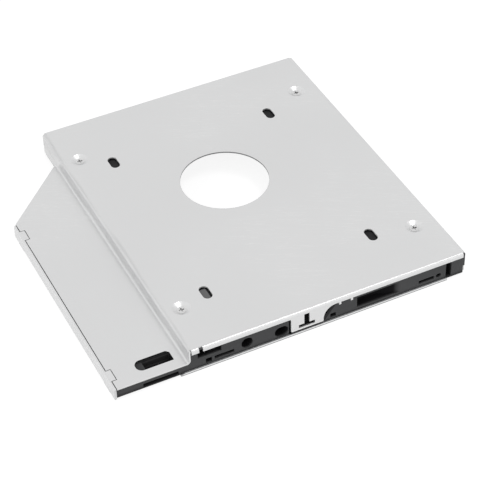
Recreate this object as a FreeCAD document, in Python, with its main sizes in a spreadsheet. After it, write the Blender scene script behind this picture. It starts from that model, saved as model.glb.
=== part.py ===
import FreeCAD, Part
import math
import os
import re

import Sketcher

# A slim drive caddy: an aluminium cover folded over a black moulded frame, with a bay for one small drive.
# Millimetres, +Z up. The origin is the middle of the footprint on the surface it lies on.
# -Y is the front, where the bezel clips on. -X is the side with the low wing. The bay opens downward.

os.makedirs("parts", exist_ok=True)

# Driving sizes

driving_sizes = {
    # Whole caddy
    "overall_width": 128.0,
    "overall_depth": 127.5,
    "overall_height": 9.5,
    "sheet_thickness": 0.5,
    "cover_clearance": 0.1,
    "overcut": 1.0,
    # Low wing and the upright step beside it
    "wing_height": 4.8,
    "wing_plate_width": 26.0,
    "step_outer_radius": 0.9,
    "step_foot_radius": 0.9,
    "wing_chamfer": 24.3,
    "wing_rear_setback": 14.8,
    # Folds round the edge of the cover
    "front_fold_height": 1.75,
    "rear_fold_height": 1.75,
    "right_fold_bottom_z": 1.1,
    "right_fold_toe_z": 3.4,
    "left_fold_bottom_z": 1.5,
    "left_fold_relief": 0.4,
    "fold_outer_radius": 0.8,
    "fold_inner_radius": 0.3,
    "corner_slit_start": 0.65,
    "corner_slit_width": 0.3,
    "fold_relief_start": 3.6,
    "fold_relief_width": 1.4,
    "fold_end_gap": 1.0,
    # Drive and its bay, between the front bar and the room for the board
    "drive_width": 69.85,
    "drive_middle_x": 9.5,
    "front_bar_depth": 8.55,
    "board_room_depth": 13.35,
    "drive_hole_span": 61.72,
    "drive_hole_pitch": 76.6,
    "drive_hole_setback": 14.0,
    "drive_side_clearance": 0.5,
    "drive_end_clearance": 0.7,
    "bay_corner_radius": 1.0,
    "fixing_slot_width": 3.3,
    "fixing_slot_length": 6.3,
    # Round window in the cover
    "window_diameter": 31.4,
    "window_offset_x": -0.1,
    "window_offset_y": 11.0,
    # Cover screws in drawn dimples
    "cover_screw_left_inset": 6.5,
    "cover_screw_right_inset": 8.5,
    "cover_screw_front_inset": 19.75,
    "cover_screw_rear_inset": 20.75,
    "dimple_radius": 3.2,
    "dimple_hole_radius": 1.05,
    "dimple_depth": 1.1,
    "screw_head_radius": 1.6,
    "screw_shank_radius": 0.8,
    "screw_length": 5.0,
    "screw_seat_clearance": 0.03,
    "screw_hole_clearance": 0.06,
    "cross_recess_width": 0.5,
    "cross_recess_length": 1.9,
    "cross_recess_depth": 0.6,
    # Spring tab in the middle of the front fold
    "tab_offset": -5.25,
    "tab_width": 11.9,
    "tab_bottom_z": 1.95,
    "tab_arc_radius": 4.6,
    "tab_corner_radius": 0.5,
    "tab_stem_inset": 4.8,
    "tab_stem_width": 1.9,
    "tab_stem_drop": 1.5,
    "tab_bar_inset": 2.8,
    "tab_bar_width": 5.9,
    "tab_bar_bottom_z": 2.75,
    "tab_bar_height": 1.3,
    "tab_room_drop": 1.0,
    "nib_gap": 5.7,
    "nib_pitch": 4.35,
    "nib_width": 0.8,
    "nib_drop": 1.0,
    "nib_root": 0.5,
    # Clip slot through the wing
    "wing_slot_length": 12.4,
    "wing_slot_width": 4.8,
    "wing_slot_step_gap": 3.6,
    "wing_slot_front_inset": 3.85,
    "wing_slot_end_radius": 2.2,
    "wing_slot_cut": 1.0,
    "clip_pad_length": 3.0,
    "clip_pad_drop": 0.9,
    "clip_pocket_height": 1.4,
    "clip_floor": 0.5,
    # Side rail hooked over the wing
    "rail_thickness": 0.8,
    "rail_seam": 0.3,
    "hook_reach": 1.7,
    "hook_length": 4.8,
    "hook_gap": 0.25,
    "front_hook_inset": 6.55,
    "rear_hook_inset": 5.95,
    # Moulded frame, with a tongue under each fixing slot
    "frame_floor": 1.0,
    "rear_wall": 1.2,
    "divider_wall": 1.5,
    "end_wall": 1.5,
    "rib_thickness": 1.2,
    "wing_skin": 1.0,
    "rail_skin": 1.5,
    "wing_cell_columns": 2,
    "wing_cell_rows": 6,
    "wing_cell_front_inset": 12.75,
    "wing_cell_rear_inset": 2.65,
    "rail_cell_rows": 6,
    "tongue_reach": 8.4,
    "tongue_length": 11.5,
    "tongue_gap": 0.4,
    "tongue_thickness": 0.9,
    "boss_radius": 2.2,
    "stake_radius": 1.2,
    "stake_clearance": 0.2,
    "stake_drop": 0.05,
    # Holes in the front of the frame that a bezel clips into. Those on the left are placed from the step,
    # those in the middle from the tab's left edge and those on the right from the right side.
    "deep_hole_depth": 5.5,
    "shallow_hole_depth": 1.2,
    "left_pocket_inset": 3.2,
    "left_pocket_width": 4.0,
    "left_pocket_step_width": 4.4,
    "left_pocket_top_gap": 0.7,
    "left_pocket_height": 3.4,
    "left_square_inset": 6.0,
    "left_square_z": 1.6,
    "left_square_width": 2.2,
    "left_square_height": 1.9,
    "left_slit_inset": 9.1,
    "left_slit_z": 2.1,
    "left_slit_width": 7.0,
    "slit_height": 1.3,
    "round_hole_offset": 15.6,
    "round_hole_z": 4.0,
    "round_hole_radius": 2.05,
    "oval_hole_offset": 3.2,
    "oval_hole_z": 3.5,
    "oval_hole_length": 5.0,
    "oval_hole_width": 3.9,
    "right_square_offset": 14.7,
    "right_square_z": 1.8,
    "right_square_width": 2.1,
    "right_square_height": 1.6,
    "recess_offset": 24.6,
    "recess_width": 8.5,
    "recess_ramp": 7.8,
    "recess_bottom_z": 2.1,
    "recess_height": 4.3,
    "recess_depth": 3.0,
    "right_slit_inset": 17.7,
    "right_slit_z": 2.4,
    "right_slit_width": 5.9,
    "small_oval_inset": 10.1,
    "small_oval_z": 3.1,
    "small_oval_length": 2.0,
    "small_oval_width": 1.6,
    "end_slot_inset": 7.3,
    "end_slot_width": 2.1,
    "end_slot_bottom_z": 1.1,
    "end_slot_height": 6.2,
    # Bottom sheet
    "bottom_left_overhang": 3.0,
    "lip_height": 1.0,
    "lip_left_inset": 0.5,
    "lip_right_inset": 7.0,
    "corner_notch_depth": 5.5,
    # Circuit board and its parts
    "board_thickness": 1.0,
    "board_top_gap": 0.7,
    "board_left_x": -24.0,
    "board_right_x": 54.0,
    "board_side_gap": 0.4,
    "board_screw_inset": 3.0,
    "board_screw_head_radius": 1.8,
    "board_screw_head_height": 0.45,
    "board_screw_radius": 0.9,
    "board_screw_length": 4.0,
    "film_thickness": 0.12,
    "socket_middle_x": 2.5,
    "socket_width": 42.0,
    "socket_length": 8.0,
    "socket_floor_gap": 1.0,
    "socket_gap": 0.1,
    "socket_cavity_depth": 5.5,
    "socket_slot_height": 1.7,
    "socket_key_width": 1.3,
    "socket_key_height": 1.0,
    "signal_slot_width": 10.6,
    "power_slot_width": 20.8,
    "slot_separation": 2.4,
    "contact_pitch": 1.27,
    "contact_width": 0.6,
    "contact_thickness": 0.2,
    "contact_clearance": 0.05,
    "signal_contact_count": 7,
    "power_contact_count": 15,
    "contact_tail_reach": 0.9,
    "solder_height": 0.3,
    "lock_width": 1.6,
    "lock_thickness": 0.4,
    "plug_middle_x": 36.0,
    "plug_width": 24.0,
    "plug_length": 7.0,
    "plug_floor_gap": 1.6,
    "plug_wall": 0.8,
    "plug_cavity_depth": 5.2,
    "blade_support_thickness": 1.2,
    "blade_support_length": 4.6,
    "plug_contact_pitch": 1.0,
    "plug_signal_count": 7,
    "plug_power_count": 6,
    "plug_contact_width": 0.5,
    "plug_support_margin": 0.9,
    "capacitor_length": 2.0,
    "capacitor_width": 1.2,
    "capacitor_height": 1.1,
    "capacitor_count": 4,
    "capacitor_pitch": 8.0,
    "resistor_length": 1.6,
    "resistor_width": 0.8,
    "resistor_height": 0.5,
    "resistor_count": 3,
    "resistor_pitch": 5.0,
}

# Places and sizes that follow from the driving ones

worked_out = {
    "left_side": "-overall_width / 2",
    "right_side": "overall_width / 2",
    "front_side": "-overall_depth / 2",
    "rear_side": "overall_depth / 2",
    "plate_bottom": "overall_height - sheet_thickness",
    "wing_bottom": "wing_height - sheet_thickness",
    "step_x": "left_side + wing_plate_width",
    "step_inner_x": "step_x + sheet_thickness",
    "wing_rear_y": "rear_side - wing_rear_setback",
    "chamfer_front_y": "wing_rear_y - wing_chamfer",
    "wing_left_x": "left_side + rail_thickness + rail_seam",
    "front_fold_bottom": "overall_height - front_fold_height",
    "fold_relief_depth": "fold_outer_radius + cover_clearance",
    "flap_left_x": "step_x + corner_slit_start + corner_slit_width",
    "relief_left_x": "step_x + fold_relief_start",
    "front_fold_left_x": "relief_left_x + fold_relief_width",
    "front_fold_right_x": "right_side - fold_end_gap",
    # Frame outline
    "frame_bottom": "sheet_thickness",
    "frame_front": "front_side + sheet_thickness + cover_clearance",
    "frame_rear": "rear_side - sheet_thickness - cover_clearance",
    "frame_right": "right_side - sheet_thickness - cover_clearance",
    "frame_wing_left": "left_side + rail_thickness",
    "block_left": "step_inner_x + cover_clearance",
    "bay_left": "drive_middle_x - drive_width / 2 - drive_side_clearance",
    "bay_right": "drive_middle_x + drive_width / 2 + drive_side_clearance",
    "bay_rear": "rear_side - board_room_depth",
    "bay_front": "front_side + front_bar_depth",
    "bay_middle_y": "(bay_front + bay_rear) / 2",
    "drive_end_y": "bay_rear - drive_end_clearance",
    "floor_top": "frame_bottom + frame_floor",
    # Four fixing slots over the drive's own threaded holes
    "slot_left_x": "drive_middle_x - drive_hole_span / 2",
    "slot_right_x": "drive_middle_x + drive_hole_span / 2",
    "slot_rear_y": "drive_end_y - drive_hole_setback",
    "slot_front_y": "slot_rear_y - drive_hole_pitch",
    # Cover screws
    "screw_left_x": "step_x + cover_screw_left_inset",
    "screw_right_x": "right_side - cover_screw_right_inset",
    "screw_front_y": "front_side + cover_screw_front_inset",
    "screw_rear_y": "rear_side - cover_screw_rear_inset",
    "dimple_slope": "dimple_depth / (dimple_radius - dimple_hole_radius)",
    "dimple_floor": "overall_height - dimple_depth",
    "dimple_rim_depth": "(dimple_radius - screw_head_radius) * dimple_slope",
    "head_top": "overall_height - dimple_rim_depth + screw_seat_clearance",
    "head_depth": "(screw_head_radius - screw_shank_radius) * dimple_slope",
    # Spring tab, the holes beside it, the clip slot and the side rail's hooks
    "tab_left_x": "drive_middle_x + tab_offset - tab_width / 2",
    "tab_right_x": "tab_left_x + tab_width",
    "tab_arc": "min(tab_arc_radius; front_fold_bottom - tab_bottom_z - 2 * tab_corner_radius)",
    "tab_stem_left_x": "tab_left_x + tab_stem_inset",
    "tab_stem_top_z": "overall_height - tab_stem_drop",
    "tab_bar_left_x": "tab_left_x + tab_bar_inset",
    "left_pocket_x": "step_x + left_pocket_inset",
    "left_pocket_top_z": "plate_bottom - left_pocket_top_gap",
    "left_square_x": "step_x + left_square_inset",
    "left_slit_x": "step_x + left_slit_inset",
    "right_square_x": "tab_left_x + right_square_offset",
    "recess_x": "tab_left_x + recess_offset",
    "right_slit_x": "right_side - right_slit_inset",
    "end_slot_x": "right_side - end_slot_inset",
    "wing_slot_right_x": "step_x - wing_slot_step_gap",
    "wing_slot_left_x": "wing_slot_right_x - wing_slot_length",
    "wing_slot_front_y": "front_side + wing_slot_front_inset",
    "wing_slot_rear_y": "wing_slot_front_y + wing_slot_width",
    "front_hook_y": "front_side + front_hook_inset",
    "rear_hook_y": "chamfer_front_y - rear_hook_inset",
    "bottom_left_x": "step_x - bottom_left_overhang",
    "lip_left_x": "bottom_left_x + lip_left_inset",
    "lip_right_x": "right_side - lip_right_inset",
    # Board and connectors
    "board_top": "plate_bottom - board_top_gap",
    "board_bottom": "board_top - board_thickness",
    "room_front": "bay_rear + divider_wall",
    "room_rear": "frame_rear - rear_wall",
    "board_front": "room_front + board_side_gap",
    "board_rear": "room_rear - board_side_gap",
    "board_middle_y": "(board_front + board_rear) / 2",
    "board_screw_left_x": "board_left_x + board_screw_inset",
    "board_screw_right_x": "board_right_x - board_screw_inset",
    "socket_left": "socket_middle_x - socket_width / 2",
    "socket_right": "socket_middle_x + socket_width / 2",
    "socket_front": "bay_rear + socket_gap",
    "socket_rear": "socket_front + socket_length",
    "socket_bottom": "floor_top + socket_floor_gap",
    "socket_height": "board_bottom - socket_bottom",
    "socket_slot_bottom_z": "socket_bottom + (socket_height - socket_slot_height - socket_key_height) / 2",
    "socket_slots_width": "signal_slot_width + slot_separation + power_slot_width",
    "signal_slot_left": "socket_middle_x - socket_slots_width / 2",
    "power_slot_left": "signal_slot_left + signal_slot_width + slot_separation",
    "contact_top": "board_top + solder_height",
    "plug_left": "plug_middle_x - plug_width / 2",
    "plug_right": "plug_middle_x + plug_width / 2",
    "plug_rear": "frame_rear",
    "plug_front": "plug_rear - plug_length",
    "plug_bottom": "floor_top + plug_floor_gap",
    "plug_height": "board_bottom - plug_bottom",
    "support_bottom": "plug_bottom + plug_height / 2 - blade_support_thickness / 2",
    "plug_signal_width": "(plug_signal_count - 1) * plug_contact_pitch + 2 * plug_support_margin",
    "plug_power_width": "(plug_power_count - 1) * plug_contact_pitch + 2 * plug_support_margin",
    "support_gap": "(plug_width - 2 * plug_wall - plug_signal_width - plug_power_width) / 3",
    "signal_support_left": "plug_left + plug_wall + support_gap",
    "power_support_left": "signal_support_left + plug_signal_width + support_gap",
}

caddy = FreeCAD.newDocument("drive_caddy")
sizes = caddy.addObject("Spreadsheet::Sheet", "Sizes")
for row, (size_name, size) in enumerate(driving_sizes.items(), start=1):
    sizes.set(f"A{row}", size_name)
    sizes.set(f"B{row}", str(size))
    sizes.setAlias(f"B{row}", size_name)
caddy.recompute()


# Expressions written with the names above

def linked(text):
    """The same expression with every name tied to the sheet."""
    def swap(match):
        word = match.group(0)
        if word in worked_out:
            return "(" + linked(worked_out[word]) + ")"
        if word in driving_sizes:
            return "Sizes." + word
        return word
    return re.sub(r"[a-z_][a-z_0-9]*", swap, text)


def measure(text):
    """The expression's value in millimetres."""
    return float(sizes.evalExpression(linked(text)))


# Sketches

def sketch_on(body, plane, offset):
    """An empty sketch on one of the body's own planes, moved along that plane's normal."""
    sketch = body.newObject("Sketcher::SketchObject", body.Name + "_sketch")
    support = next(item for item in body.Origin.OriginFeatures if item.Role == plane)
    sketch.AttachmentSupport = [(support, "")]
    sketch.MapMode = "FlatFace"
    sketch.setExpression(".AttachmentOffset.Base.z", linked(offset))
    return sketch


def level(body, height):
    """A sketch lying flat at a height: across is X, up the page is Y."""
    return sketch_on(body, "XY_Plane", height)


def facing_front(body, depth):
    """A sketch standing across the caddy at a Y place: across is X, up the page is Z, normal is -Y."""
    return sketch_on(body, "XZ_Plane", f"-({depth})")


def facing_right(body, across):
    """A sketch standing along the caddy at an X place: across is Y, up the page is Z, normal is +X."""
    return sketch_on(body, "YZ_Plane", across)


def hold(sketch, kind, *places, size):
    """A dimension of the sketch that takes its value from the sheet."""
    index = sketch.addConstraint(Sketcher.Constraint(kind, *places, measure(size)))
    sketch.renameConstraint(index, f"size{index}")
    sketch.setExpression(f"Constraints.size{index}", linked(size))


def add_polygon(sketch, corners):
    """A closed outline through corners, each a pair of expressions."""
    points = [FreeCAD.Vector(measure(across), measure(up), 0) for across, up in corners]
    count = len(points)
    edges = [Part.LineSegment(points[i], points[(i + 1) % count]) for i in range(count)]
    first = sketch.addGeometry(edges, False)[0]
    for i, (across, up) in enumerate(corners):
        before = first + (i - 1) % count
        sketch.addConstraint(Sketcher.Constraint("Coincident", before, 2, first + i, 1))
        hold(sketch, "DistanceX", first + i, 1, size=across)
        hold(sketch, "DistanceY", first + i, 1, size=up)


def add_rectangle(sketch, left, right, low, high):
    add_polygon(sketch, [(left, low), (right, low), (right, high), (left, high)])


def add_circle(sketch, across, up, radius):
    centre = FreeCAD.Vector(measure(across), measure(up), 0)
    circle = sketch.addGeometry(Part.Circle(centre, FreeCAD.Vector(0, 0, 1), measure(radius)), False)
    hold(sketch, "DistanceX", circle, 3, size=across)
    hold(sketch, "DistanceY", circle, 3, size=up)
    hold(sketch, "Radius", circle, size=radius)


def add_slot(sketch, across, up, length, width, lengthwise):
    """A slot with round ends, its middle at (across, up), running along x or y of the sketch."""
    radius = f"({width}) / 2"
    reach = f"(({length}) - ({width})) / 2"
    shift_x = reach if lengthwise == "x" else "0"
    shift_y = reach if lengthwise == "y" else "0"
    low_end = (f"({across}) - ({shift_x})", f"({up}) - ({shift_y})")
    high_end = (f"({across}) + ({shift_x})", f"({up}) + ({shift_y})")
    first_angle = -math.pi / 2 if lengthwise == "x" else 0.0
    arcs = []
    for end, start_angle in ((low_end, first_angle - math.pi), (high_end, first_angle)):
        centre = FreeCAD.Vector(measure(end[0]), measure(end[1]), 0)
        circle = Part.Circle(centre, FreeCAD.Vector(0, 0, 1), measure(radius))
        arc = sketch.addGeometry(Part.ArcOfCircle(circle, start_angle, start_angle + math.pi), False)
        hold(sketch, "DistanceX", arc, 3, size=end[0])
        hold(sketch, "DistanceY", arc, 3, size=end[1])
        arcs.append(arc)
    for start_arc, end_arc in ((arcs[0], arcs[1]), (arcs[1], arcs[0])):
        start = sketch.Geometry[start_arc].EndPoint
        end = sketch.Geometry[end_arc].StartPoint
        line = sketch.addGeometry(Part.LineSegment(start, end), False)
        sketch.addConstraint(Sketcher.Constraint("Tangent", start_arc, 2, line, 1))
        sketch.addConstraint(Sketcher.Constraint("Tangent", line, 2, end_arc, 1))
    sketch.addConstraint(Sketcher.Constraint("Equal", arcs[0], arcs[1]))
    hold(sketch, "Radius", arcs[0], size=radius)


# Features

sub_parts = []


def new_body(label):
    """A body that is written out as one sub-part."""
    body = caddy.addObject("PartDesign::Body", label)
    body.Label = label
    body.AllowCompound = True
    sub_parts.append(body)
    return body


def changed(body, grows):
    """Recompute, and stop if the last feature did nothing."""
    before = body.Tip.Shape.Volume if body.Tip else 0.0
    def check():
        caddy.recompute()
        after = body.Shape.Volume
        if (after - before) * (1 if grows else -1) <= 1e-6:
            raise RuntimeError(f"{body.Label}: {body.Tip.Name} changed nothing")
    return check


def pad(body, sketch, length, reverse=False):
    """Material added from the sketch along its normal."""
    check = changed(body, True)
    feature = body.newObject("PartDesign::Pad", body.Name + "_pad")
    feature.Profile = sketch
    feature.Reversed = reverse
    feature.setExpression("Length", linked(length))
    check()
    return feature


def pocket(body, sketch, depth, reverse=False):
    """Material cut from the sketch against its normal."""
    check = changed(body, False)
    feature = body.newObject("PartDesign::Pocket", body.Name + "_pocket")
    feature.Profile = sketch
    feature.Reversed = reverse
    feature.setExpression("Length", linked(depth))
    check()
    return feature


def turn(body, kind, middle_x, middle_y, profile):
    """A profile of (radius, height) corners turned about an upright line through the middle."""
    sketch = facing_front(body, middle_y)
    add_polygon(sketch, [(f"({middle_x}) + ({radius})", height) for radius, height in profile])
    start = FreeCAD.Vector(measure(middle_x), 0, 0)
    line = Part.LineSegment(start, start + FreeCAD.Vector(0, 1, 0))
    axis = sketch.addGeometry(line, True)
    hold(sketch, "DistanceX", axis, 1, size=middle_x)
    hold(sketch, "DistanceY", axis, 1, size="0")
    hold(sketch, "DistanceY", axis, 2, size="1")
    sketch.addConstraint(Sketcher.Constraint("Vertical", axis))
    check = changed(body, kind == "PartDesign::Revolution")
    feature = body.newObject(kind, body.Name + "_turned")
    feature.Profile = sketch
    feature.ReferenceAxis = (sketch, ["Axis0"])
    feature.Angle = 360.0
    check()
    return feature


def soften(body, kind, size, places):
    """A fillet or chamfer on the edges that pass through the given places."""
    base = body.Tip
    names = []
    for place in places:
        corner = Part.Vertex(*[measure(part) for part in place])
        gaps = [edge.distToShape(corner)[0] for edge in base.Shape.Edges]
        nearest = min(gaps)
        if nearest > 0.02:
            raise RuntimeError(f"{body.Label}: no edge at {place}")
        names.append(f"Edge{gaps.index(nearest) + 1}")
    feature = body.newObject(kind, body.Name + "_edge")
    feature.Base = (base, names)
    feature.setExpression("Radius" if kind == "PartDesign::Fillet" else "Size", linked(size))
    caddy.recompute()
    if feature.Shape.isNull() or not feature.Shape.isValid():
        raise RuntimeError(f"{body.Label}: no rounded edge at {places}")


def repeat(body, feature, direction, pitch, count):
    """The feature repeated in a row along one of the body's own axes."""
    pattern = body.newObject("PartDesign::LinearPattern", body.Name + "_row")
    axis = next(item for item in body.Origin.OriginFeatures if item.Role == direction)
    pattern.Originals = [feature]
    pattern.Direction = (axis, [""])
    pattern.Mode = "Spacing"
    pattern.setExpression("Offset", linked(pitch))
    pattern.setExpression("Occurrences", linked(count))
    body.Tip = pattern
    caddy.recompute()
    return pattern


screw_places = {
    "front_left": ("screw_left_x", "screw_front_y"),
    "front_right": ("screw_right_x", "screw_front_y"),
    "rear_left": ("screw_left_x", "screw_rear_y"),
    "rear_right": ("screw_right_x", "screw_rear_y"),
}
board_screw_places = {
    "left": ("board_screw_left_x", "board_middle_y"),
    "right": ("board_screw_right_x", "board_middle_y"),
}
socket_groups = (
    ("signal_slot_left", "signal_slot_width", "signal_contact_count"),
    ("power_slot_left", "power_slot_width", "power_contact_count"),
)
plug_groups = (
    ("signal_support_left", "plug_signal_width", "plug_signal_count"),
    ("power_support_left", "plug_power_width", "plug_power_count"),
)
stake_places = [
    ("block_left + boss_radius + rib_thickness", "frame_front + boss_radius + rib_thickness"),
    ("frame_right - boss_radius - rib_thickness - corner_notch_depth",
     "frame_front + boss_radius + rib_thickness"),
    ("block_left + boss_radius + rib_thickness", "frame_rear - boss_radius - rear_wall"),
    ("frame_right - boss_radius - rib_thickness", "frame_rear - boss_radius - rear_wall"),
]


# Top cover: one aluminium sheet, stepped down to the wing and folded round its edges

def make_top_cover():
    cover = new_body("top_cover")

    section = facing_front(cover, "rear_side")
    add_polygon(section, [
        ("wing_left_x", "wing_height"),
        ("step_x", "wing_height"),
        ("step_x", "overall_height"),
        ("right_side", "overall_height"),
        ("right_side", "right_fold_bottom_z"),
        ("right_side - sheet_thickness", "right_fold_bottom_z"),
        ("right_side - sheet_thickness", "plate_bottom"),
        ("step_inner_x", "plate_bottom"),
        ("step_inner_x", "wing_bottom"),
        ("wing_left_x", "wing_bottom"),
    ])
    pad(cover, section, "overall_depth")
    middle = "0"
    soften(cover, "PartDesign::Fillet", "step_outer_radius", [("step_x", middle, "overall_height")])
    soften(cover, "PartDesign::Fillet", "step_outer_radius - sheet_thickness",
           [("step_inner_x", middle, "plate_bottom")])
    soften(cover, "PartDesign::Fillet", "step_foot_radius", [("step_x", middle, "wing_height")])
    soften(cover, "PartDesign::Fillet", "step_foot_radius + sheet_thickness",
           [("step_inner_x", middle, "wing_bottom")])
    soften(cover, "PartDesign::Fillet", "fold_outer_radius", [("right_side", middle, "overall_height")])
    soften(cover, "PartDesign::Fillet", "fold_inner_radius",
           [("right_side - sheet_thickness", middle, "plate_bottom")])

    # The ends of the right fold stop short of the front and rear folds, but for a toe at the front
    fold_end_top = "plate_bottom - fold_inner_radius"
    for low, high, bottom in (
        ("front_side - overcut", "front_side + fold_end_gap", "right_fold_toe_z"),
        ("rear_side - fold_end_gap", "rear_side + overcut", "right_fold_bottom_z"),
    ):
        fold_end = level(cover, fold_end_top)
        add_rectangle(fold_end, "right_side - overcut", "right_side + overcut", low, high)
        pocket(cover, fold_end, f"{fold_end_top} - {bottom}")

    # The corner behind the wing is cut away, and the step runs on down there as a fold
    corner = level(cover, "overall_height")
    add_polygon(corner, [
        ("left_side - overcut", "chamfer_front_y - overcut"),
        ("left_side", "chamfer_front_y"),
        ("left_side + wing_chamfer", "wing_rear_y"),
        ("step_x", "wing_rear_y"),
        ("step_x", "rear_side + overcut"),
        ("left_side - overcut", "rear_side + overcut"),
    ])
    pocket(cover, corner, "overall_height")
    left_fold = facing_front(cover, "rear_side")
    add_rectangle(left_fold, "step_x", "step_inner_x",
                  "left_fold_bottom_z", "(wing_height + overall_height) / 2")
    pad(cover, left_fold, "wing_rear_setback - left_fold_relief")

    # Front fold with a short flap at its left end, its spring tab and two nibs
    front_fold = facing_front(cover, "front_side + sheet_thickness")
    add_polygon(front_fold, [
        ("front_fold_left_x", "plate_bottom"),
        ("front_fold_left_x", "front_fold_bottom"),
        ("tab_left_x", "front_fold_bottom"),
        ("tab_left_x", "tab_bottom_z"),
        ("tab_right_x", "tab_bottom_z"),
        ("tab_right_x", "front_fold_bottom"),
        ("front_fold_right_x", "front_fold_bottom"),
        ("front_fold_right_x", "plate_bottom"),
    ])
    add_rectangle(front_fold, "flap_left_x", "relief_left_x", "front_fold_bottom", "plate_bottom")
    pad(cover, front_fold, "sheet_thickness")
    front_middle = "front_side + sheet_thickness / 2"
    soften(cover, "PartDesign::Fillet", "tab_arc",
           [("tab_right_x", front_middle, "front_fold_bottom")])
    soften(cover, "PartDesign::Fillet", "tab_corner_radius", [
        ("tab_left_x", front_middle, "front_fold_bottom"),
        ("tab_left_x", front_middle, "tab_bottom_z"),
        ("tab_right_x", front_middle, "tab_bottom_z"),
    ])
    nibs = facing_front(cover, "front_side + sheet_thickness")
    for i in range(2):
        nib_x = f"tab_right_x + nib_gap + {i} * nib_pitch"
        add_rectangle(nibs, nib_x, f"{nib_x} + nib_width",
                      "front_fold_bottom - nib_drop", "front_fold_bottom + nib_root")
    pad(cover, nibs, "sheet_thickness")
    relief = level(cover, "overall_height")
    rear_fold_left_x = "step_x + fold_end_gap"
    relief_front = "front_side + fold_relief_depth"
    relief_rear = "rear_side - fold_relief_depth"
    add_rectangle(relief, "relief_left_x", "front_fold_left_x", "front_side - overcut", relief_front)
    add_rectangle(relief, "front_fold_right_x", "right_side + overcut",
                  "front_side - overcut", relief_front)
    add_rectangle(relief, "step_x - overcut", rear_fold_left_x, relief_rear, "rear_side + overcut")
    add_rectangle(relief, "front_fold_right_x", "right_side + overcut", relief_rear, "rear_side + overcut")
    pocket(cover, relief, "overall_height")
    slit = level(cover, "overall_height")
    add_rectangle(slit, "step_x + corner_slit_start", "flap_left_x", "front_side - overcut", relief_front)
    pocket(cover, slit, "front_fold_height")

    rear_fold = facing_front(cover, "rear_side")
    add_rectangle(rear_fold, rear_fold_left_x, "front_fold_right_x",
                  "overall_height - rear_fold_height", "plate_bottom")
    pad(cover, rear_fold, "sheet_thickness")
    flap_middle_x = "(flap_left_x + relief_left_x) / 2"
    soften(cover, "PartDesign::Fillet", "fold_outer_radius", [
        (flap_middle_x, "front_side", "overall_height"),
        ("screw_left_x", "front_side", "overall_height"),
        ("screw_left_x", "rear_side", "overall_height"),
    ])
    soften(cover, "PartDesign::Fillet", "fold_inner_radius", [
        (flap_middle_x, "front_side + sheet_thickness", "plate_bottom"),
        ("screw_left_x", "front_side + sheet_thickness", "plate_bottom"),
        ("screw_left_x", "rear_side - sheet_thickness", "plate_bottom"),
    ])

    # T-shaped cut in the tab
    stem_right = "tab_stem_left_x + tab_stem_width"
    bar_top = "tab_bar_bottom_z + tab_bar_height"
    letter = facing_front(cover, "front_side + 2 * sheet_thickness")
    add_polygon(letter, [
        ("tab_bar_left_x", "tab_bar_bottom_z"),
        ("tab_bar_left_x + tab_bar_width", "tab_bar_bottom_z"),
        ("tab_bar_left_x + tab_bar_width", bar_top),
        (stem_right, bar_top),
        (stem_right, "tab_stem_top_z"),
        ("tab_stem_left_x", "tab_stem_top_z"),
        ("tab_stem_left_x", bar_top),
        ("tab_bar_left_x", bar_top),
    ])
    pocket(cover, letter, "3 * sheet_thickness", reverse=True)

    # Screw dimples, drawn down as cones
    hole_rim = "dimple_hole_radius"
    for middle_x, middle_y in screw_places.values():
        turn(cover, "PartDesign::Revolution", middle_x, middle_y, [
            ("0", "plate_bottom + sheet_thickness / 2"),
            ("dimple_radius + sheet_thickness", "plate_bottom + sheet_thickness / 2"),
            ("dimple_radius + sheet_thickness", "plate_bottom"),
            (hole_rim + " + sheet_thickness", "dimple_floor - sheet_thickness"),
            ("0", "dimple_floor - sheet_thickness"),
        ])
        turn(cover, "PartDesign::Groove", middle_x, middle_y, [
            ("0", "overall_height"),
            ("dimple_radius", "overall_height"),
            (hole_rim, "dimple_floor"),
            (hole_rim, "dimple_floor - 2 * sheet_thickness"),
            ("0", "dimple_floor - 2 * sheet_thickness"),
        ])

    # Round window and the four fixing slots
    openings = level(cover, "overall_height")
    add_circle(openings, "drive_middle_x + window_offset_x", "bay_middle_y + window_offset_y",
               "window_diameter / 2")
    for slot_x in ("slot_left_x", "slot_right_x"):
        for slot_y in ("slot_front_y", "slot_rear_y"):
            add_slot(openings, slot_x, slot_y, "fixing_slot_length", "fixing_slot_width", "y")
    pocket(cover, openings, "2 * sheet_thickness")

    # Clip slot in the wing, and the two places where the side rail hooks over
    wing_cuts = level(cover, "wing_height")
    add_rectangle(wing_cuts, "wing_slot_left_x", "wing_slot_right_x",
                  "wing_slot_front_y", "wing_slot_rear_y")
    for hook_y in ("front_hook_y", "rear_hook_y"):
        add_rectangle(wing_cuts, "wing_left_x - overcut", "frame_wing_left + hook_reach + hook_gap",
                      f"{hook_y} - hook_length / 2 - hook_gap", f"{hook_y} + hook_length / 2 + hook_gap")
    pocket(cover, wing_cuts, "2 * sheet_thickness")
    slot_middle = "wing_height - sheet_thickness / 2"
    soften(cover, "PartDesign::Fillet", "wing_slot_end_radius", [
        ("wing_slot_left_x", "wing_slot_front_y", slot_middle),
        ("wing_slot_left_x", "wing_slot_rear_y", slot_middle),
    ])
    soften(cover, "PartDesign::Chamfer", "wing_slot_cut",
           [("wing_slot_right_x", "wing_slot_rear_y", slot_middle)])


# Black moulded frame: wing, two side rails, front bar and the tray for the board

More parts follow.
